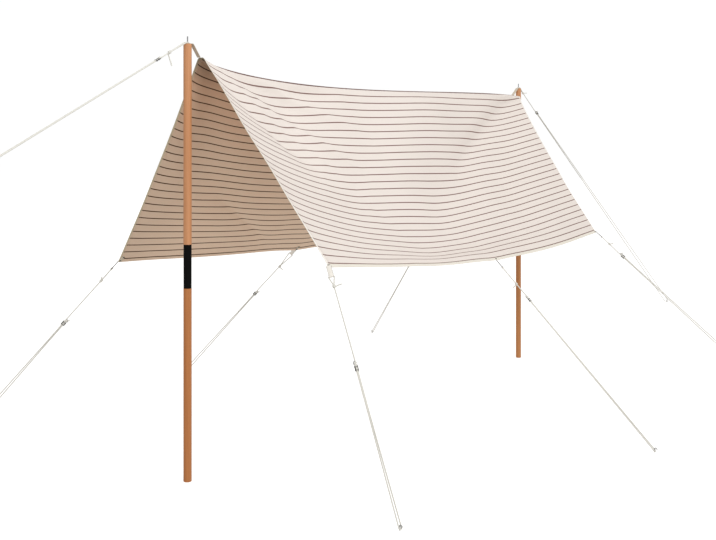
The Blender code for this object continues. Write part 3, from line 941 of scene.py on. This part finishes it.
dark_coat = coat_material("dark_coat", (0.012, 0.012, 0.012), 0.15)
bright_metal = metal_material("galvanised", (0.52, 0.53, 0.53), 0.38)
pin_metal = metal_material("plain_steel", (0.34, 0.35, 0.37), 0.32)
BAR_OFFSET = 0.0084
BAR_RADIUS = 0.0021
BAR_HALVES = {-1: 0.0148, 1: 0.0120}
RUNG_RADIUS = 0.0008
RUNG_ALONG = 0.0065
RUNG_UP = 0.0041
RING_RADIUS = 0.0078
RING_WIRE = 0.0016


def bar(shape, start, end, radius, sides=12):
    """A rod with rounded ends."""
    axis = (end - start).normalized() * radius
    turns = arc(0.0, 90.0, 4)
    path = [start + axis * (1 - c) for c, _ in turns] + [end - axis * (1 - c) for c, _ in turns[::-1]]
    shares = [max(s, 0.1) for _, s in turns]
    shape.sweep(path, circle(radius, sides), shares=shares + shares[::-1])


def runner(guy):
    """Two bars and four rungs."""
    shape = Shape()
    for side, half in BAR_HALVES.items():
        start, end = (guy.at(guy.slider_at + way * half, side * BAR_OFFSET) for way in (-1, 1))
        bar(shape, start, end, BAR_RADIUS)
    for along in (-RUNG_ALONG, RUNG_ALONG):
        for up in (-RUNG_UP, RUNG_UP):
            start, end = (guy.at(guy.slider_at + along, way * BAR_OFFSET, up) for way in (-1, 1))
            bar(shape, start, end, RUNG_RADIUS, 8)
    return shape.piece(guy.name + "_runner", dark_coat)


def ring(guy):
    """The wire ring at the cloth's end of the slider."""
    centre = guy.slider_at - SLIDER_LENGTH / 2 - 0.0065
    path = [guy.at(centre + x, STRAND_OFFSET + y) for x, y in circle(RING_RADIUS, 28)]
    return Shape().sweep(path, circle(RING_WIRE, 8), closed=True).piece(guy.name + "_ring", pin_metal)


sliders = {guy.name: (runner(guy), ring(guy)) for guy in guys}
print("sliders:", len(sliders))

# %% [markdown]
# Each hem guy holds the cloth by a webbing tab, folded round the cord and sewn on. The two
# ridge straps are olive bands, a little thicker: they drop over the pins and carry the
# cloth's tips.

# %% Places on the cloth
def on_cloth(along, down, lift):
    """A place on the finished cloth, at a place on the flat cut and a lift off its middle."""
    column = np.interp(along, ALONG, np.arange(len(ALONG)))
    row = np.interp(down, DOWN_BOTH, np.arange(len(DOWN_BOTH)))
    i, j = min(int(column), len(ALONG) - 2), min(int(row), len(DOWN_BOTH) - 2)
    found = []
    for grid in (middle, upright):
        near = between(grid[i, j], grid[i, j + 1], row - j)
        found.append(between(near, between(grid[i + 1, j], grid[i + 1, j + 1], row - j), column - i))
    return Vector(found[0]) + Vector(found[1]).normalized() * lift


def on_line(start, end, lift, count):
    """Even places on a straight line of the flat cut, carried onto the cloth."""
    return [on_cloth(*(between(a, b, k / count) for a, b in zip(start, end)), lift) for k in range(count + 1)]


print("cloth's near tip:", [round(v, 3) for v in on_cloth(0.0, 0.0, 0.0)])

# %% Tabs and straps
TAB_BORE = ROPE_RADIUS + TAB_PLY / 2
CLEARANCE = 0.0001
STRAP_SIDE = Vector((0.0, 1.0, 0.0))


def tab(guy):
    """Webbing folded round the cord's eye: one band that goes out, turns and comes back."""
    across = facing(guy)
    normal = across.cross(guy.along)
    ply = normal * (TAB_PLY / 2 + CLEARANCE)
    stops = [-0.004 + (guy.tab_length - 0.003) * k / 5 for k in range(6)]
    path = [guy.at(stop) + ply for stop in stops]
    for c, s in arc(150.0, -150.0, 12):
        path.append(guy.at(guy.tab_length + TAB_BORE * c) + normal * TAB_BORE * s)
    path += [guy.at(stop) - ply for stop in stops[::-1]]
    return Shape().sweep(path, slab(TAB_WIDTH, TAB_PLY), across).piece(guy.name + "_webbing", webbing)


def ridge_strap(name, pole_x, tip, askew):
    """A band over the pin, bent over the pole's rim and down to the cloth's tip."""
    towards = 1.0 if tip[0] > pole_x else -1.0
    level = POLE_HEIGHT + 0.0003 + STRAP_THICKNESS / 2
    foot = Vector(tip) + Vector((-towards * 0.004, askew, 0.001))
    bend = Vector((pole_x + towards * STRAP_BEND, -askew, level))
    start = Vector((pole_x - towards * 0.0170, 0.0, level))
    path = straight(start, bend, 0.004)[:-1] + rounded(start, bend, foot, 0.004)
    path += straight(path[-1], foot, FINE_STEP)[1:] + [foot]
    return Shape().sweep(path, slab(STRAP_WIDTH, STRAP_THICKNESS), STRAP_SIDE).piece(name, olive_webbing)


hem_guys = [guy for guy in guys if not guy.on_pole]
tabs = {guy.name: tab(guy) for guy in hem_guys}
straps = {
    "near": ridge_strap("near_ridge_webbing", 0.0, NEAR_TIP, 0.009),
    "far": ridge_strap("far_ridge_webbing", POLE_SPAN, FAR_TIP, 0.0),
}
print("tabs:", len(tabs), "straps:", len(straps))

# %% [markdown]
# Inside the hem each tab goes on as a short sewn patch, which is what the pull really hangs
# on. Dark tacks, a few stitches side by side, hold it at its two ends, and show at the hem
# outside too.

# %% Patches inside the hem
PATCH_REACH = 0.032
PATCH_FOOT = CLOTH_DOWN - 0.004
HEM_ENDS = {"near": 0.008, "middle": CLOTH_ALONG / 2, "far": CLOTH_ALONG - 0.012}
TURN_IN = {"near": 0.55, "middle": 0.0, "far": -0.55}
TACK_STEP = 0.006
TACK_PITCH = 0.0022
TACK_HALF = 0.007
TACK_RADIUS = 0.0011


def patch_places(guy):
    """Where the patch starts and ends on the flat cut: at the hem, and some way up."""
    side, place = guy.name.split("_")
    foot, head = OUTWARD[side] * PATCH_FOOT, OUTWARD[side] * (PATCH_FOOT - PATCH_REACH)
    return (HEM_ENDS[place], foot), (HEM_ENDS[place] + math.sin(TURN_IN[place]) * PATCH_REACH, head)


def patch(guy):
    """Webbing on the inside of the cloth, in line with the tab."""
    foot, head = patch_places(guy)
    lift = -(HEM_THICKNESS / 2 + TAB_PLY / 2 + 2 * CLEARANCE)
    path = on_line(foot, head, lift, 6)
    off = on_cloth(*head, 0.0) - on_cloth(*head, -1.0)
    across = (path[-1] - path[0]).cross(off).normalized()
    return Shape().sweep(path, slab(TAB_WIDTH, TAB_PLY), across).piece(guy.name + "_patch", olive_webbing)


def tacks(guy):
    """Short dark stitches side by side: at both ends of the patch inside, and at the hem outside."""
    shape = Shape()
    inside, outside = -(HEM_THICKNESS / 2 + TAB_PLY), HEM_THICKNESS / 2
    foot, head = patch_places(guy)
    for (along, down), lift, way in ((foot, inside, 1), (head, inside, -1), (foot, outside, 1)):
        for k in (-1, 0, 1):
            row = down - math.copysign(TACK_STEP, down) * way + k * TACK_PITCH
            start, end = (on_cloth(along + reach, row, lift) for reach in (-TACK_HALF, TACK_HALF))
            bar(shape, start, end, TACK_RADIUS, 6)
    return shape.piece(guy.name + "_tacks", dark_thread)


patches = [patch(guy) for guy in hem_guys]
hem_tacks = [tacks(guy) for guy in hem_guys]
print("patches:", len(patches), "sets of tacks:", len(hem_tacks))

# %% [markdown]
# A hem shows by its seam: a row of even stitches. A path that follows the seam becomes a
# curve, is cut into equal steps, and gets one small stitch at each. That is a job for
# Geometry Nodes, because the spacing stays an input that can be changed.

# %% A tree that sews
STITCH = {"Spacing": 0.0042, "Stitch length": 0.0032, "Thread width": 0.0009}
SEAM_STEP = 0.02


def sewing_tree(material):
    """Geometry Nodes: a mesh path in, a row of stitches out."""
    group = bpy.data.node_groups.new("sewing", "GeometryNodeTree")
    face = group.interface
    face.new_socket("Geometry", in_out="INPUT", socket_type="NodeSocketGeometry")
    for name, value in STITCH.items():
        face.new_socket(name, in_out="INPUT", socket_type="NodeSocketFloat").default_value = value
    face.new_socket("Geometry", in_out="OUTPUT", socket_type="NodeSocketGeometry")
    node = Tree(group).node
    path, spacing, length, width, _ = node("NodeGroupInput").outputs()
    curve = node("GeometryNodeMeshToCurve", sockets={"Mesh": path})
    stops = node("GeometryNodeResampleCurve", {"mode": "LENGTH"}, {"Curve": curve, "Length": spacing})
    bead = node("GeometryNodeMeshUVSphere", sockets={"Segments": 5, "Rings": 4, "Radius": 0.5})
    size = node("ShaderNodeCombineXYZ", sockets={0: width, 1: width, 2: length})
    heading = node("GeometryNodeInputTangent")
    turn = node("FunctionNodeAlignRotationToVector", {"axis": "Z"}, {"Vector": heading})
    stitch = {"Points": stops, "Instance": bead, "Rotation": turn, "Scale": size}
    row = node("GeometryNodeInstanceOnPoints", sockets=stitch)
    solid = node("GeometryNodeRealizeInstances", sockets={"Geometry": row})
    painted = node("GeometryNodeSetMaterial", sockets={"Geometry": solid, "Material": material})
    group.links.new(painted.socket, group.nodes.new("NodeGroupOutput").inputs[0])
    return group


def sew(name, paths, tree):
    """Run the tree on seam paths, and keep the plain mesh."""
    points, edges = [], []
    for path in paths:
        edges.extend((len(points) + k, len(points) + k + 1) for k in range(len(path) - 1))
        points.extend(tuple(p) for p in path)
    mesh = bpy.data.meshes.new(name + "_path")
    mesh.from_pydata(points, edges, [])
    source = add_object(name + "_path", mesh)
    source.modifiers.new("sewing", "NODES").node_group = tree
    graph = bpy.context.evaluated_depsgraph_get()
    made = add_object(name, bpy.data.meshes.new_from_object(source.evaluated_get(graph)))
    bpy.data.objects.remove(source)
    made.data.shade_smooth()
    return made


tree = sewing_tree(thread)
inset = HEM_WIDTH - 0.003
near, far, foot = inset, CLOTH_ALONG - inset, CLOTH_DOWN - inset
rows = (((near, -foot), (near, foot)), ((far, -foot), (far, foot)), ((near, foot), (far, foot)),
        ((near, -foot), (far, -foot)))
lifts = (HEM_THICKNESS / 2, -HEM_THICKNESS / 2)
seams = [on_line(a, b, lift, round(math.dist(a, b) / SEAM_STEP)) for lift in lifts for a, b in rows]
hem_stitches = sew("hem_stitches", seams, tree)
print("stitches:", len(hem_stitches.data.polygons), "faces")

# %% [markdown]
# The poles are turned beech. The grain runs up the pole in long streaks, with short darker
# flecks that beech always shows. The halves come from different boards: the near pole's lower
# one is darker and redder, as it is in the picture.

# %% Beech
def beech_material(name, pale, deep, pole_x):
    recipe = Recipe(name)
    x, y, z = recipe.parts(recipe.place("Object"))
    x = x - pole_x
    grain = recipe.streaks(x * 260, y * 260, z * 5, 4.0)
    board = recipe.streaks(x * 30, y * 30, z * 1.3, 2.0)
    fleck = recipe.streaks(x * 900, y * 900, z * 75, 2.0).step(0.62, 0.72)
    colour = recipe.blend((grain * 0.55 + board * 0.45).step(0.3, 0.7), pale, deep)
    colour = recipe.tint(colour, 1 - fleck * 0.18)
    normal = recipe.bump((grain - fleck) * 0.5, 0.0002, 0.5)
    rough = 0.33 + grain * 0.15
    return recipe.finish(Base_Color=colour, Roughness=rough, Specular_IOR_Level=0.5, Normal=normal)


# The pale and the deep colour of each board
UPPER = ((0.61, 0.285, 0.130), (0.50, 0.220, 0.092))
LOWER = {
    "near": ((0.49, 0.180, 0.048), (0.405, 0.140, 0.034)),
    "far": ((0.62, 0.265, 0.088), (0.51, 0.205, 0.062)),
}


def dress(node_name, material):
    """Give a carried-over node its finish."""
    node = frame["nodes"][node_name]
    node.data.materials.clear()
    node.data.materials.append(material)


black_coat = coat_material("black_coat", (0.003, 0.003, 0.003), 0.06)
for end, pole_x in (("near", 0.0), ("far", POLE_SPAN)):
    dress(end + "_pole_upper", beech_material(end + "_upper_beech", *UPPER, pole_x))
    dress(end + "_pole_lower", beech_material(end + "_lower_beech", *LOWER[end], pole_x))
    dress(end + "_pole_sleeve", black_coat)
    dress(end + "_pole_pin", pin_metal)
for guy in guys:
    dress(guy.name + "_peg", bright_metal)
print("poles and pegs dressed")

# %% [markdown]
# Every piece now rides on a body, and the frame's nodes that it replaces are hidden. Cloth,
# straps, tabs and the standing cords stay with the frame, as do patches, tacks and stitches.
# Runners, rings and end knots ride on their sliders. The returning strand stays with the
# frame on a mesh of its own; nothing here makes it shorter as the slider moves.

# %% Ride and replace
for guy in guys:
    standing, returning, knot = cords[guy.name]
    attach(standing, "frame")
    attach(returning, "frame")
    guy.at(guy.length)
    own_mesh(returning)
    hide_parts(guy.name + "_rope")
    metal, wire = sliders[guy.name]
    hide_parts(guy.name + "_slider")
    for piece in (knot, metal, wire):
        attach(piece, guy.name + "_slider")
for name, piece in tabs.items():
    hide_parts(name + "_tab")
for end, piece in straps.items():
    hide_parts(end + "_ridge_strap")
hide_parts("canopy")
for piece in (*tabs.values(), *straps.values(), *patches, *hem_tacks):
    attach(piece, "frame")
for piece in (cloth, hem_stitches):
    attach(piece, "frame")

# %% [markdown]
# The light is a plain studio: one large soft lamp high on the camera's right makes the front
# panel bright and leaves the inside in shade. A weaker one, high behind the canopy on the
# left, lifts the back panel and the poles' rims. The surround lights the rest, and is a little
# darker on the camera's left. The floor is almost white and takes only a faint shadow.

# %% Floor, surround and lamps
def plain_material(name, grey, glow):
    return Recipe(name).finish(Base_Color=(grey, grey, grey), Roughness=0.9,
                               Emission_Color=(1.0, 1.0, 1.0), Emission_Strength=glow)


def stage_piece(name, make, material, **settings):
    """A floor or backdrop, which is no part of the object."""
    make(**settings)
    made = bpy.context.active_object
    made.name = name
    made.data.materials.append(material)
    made.visible_diffuse = False
    made.visible_glossy = False
    return made


stage_piece("floor", bpy.ops.mesh.primitive_circle_add, plain_material("pale_floor", 0.5, 0.80),
            vertices=96, radius=70.0, fill_type="NGON", location=(1.7, 0.0, -0.001))
white = plain_material("white_surround", 0.0, 1.0)
dome = stage_piece("surround", bpy.ops.mesh.primitive_uv_sphere_add, white,
                   segments=48, ring_count=24, radius=75.0, location=(1.7, 0.0, 0.0))
dome.visible_shadow = False
dome.visible_transmission = False

WARM_WHITE = (1.0, 0.98, 0.95)
SHADE_WHITE = (0.66, 0.63, 0.60)
studio = Recipe("studio", bpy.data.worlds, "Background")
turned = {0: studio.place("Generated"), 1: SIDEWAYS - HEADING * 0.6}
lit = studio.node("ShaderNodeVectorMath", {"operation": "DOT_PRODUCT"}, turned, "Value") * 0.5 + 0.5
bpy.context.scene.world = studio.finish(Color=studio.blend(lit, SHADE_WHITE, WARM_WHITE), Strength=0.85)

CENTRE = Vector((1.68, 0.0, 1.2))
SOFTBOX_SIZE = 4.0
LAMPS = {
    "key": (SIDEWAYS * 2.0 - HEADING * 6.0 + UP * 5.5, 270.0),
    "back light": (SIDEWAYS * -5.0 + HEADING * 3.0 + UP * 5.0, 110.0),
}
for name, (away, power) in LAMPS.items():
    lamp = bpy.data.lights.new(name, "AREA")
    lamp.size = SOFTBOX_SIZE
    lamp.energy = power
    add_aimed(name, lamp, CENTRE + away, -away)
print("stage set")
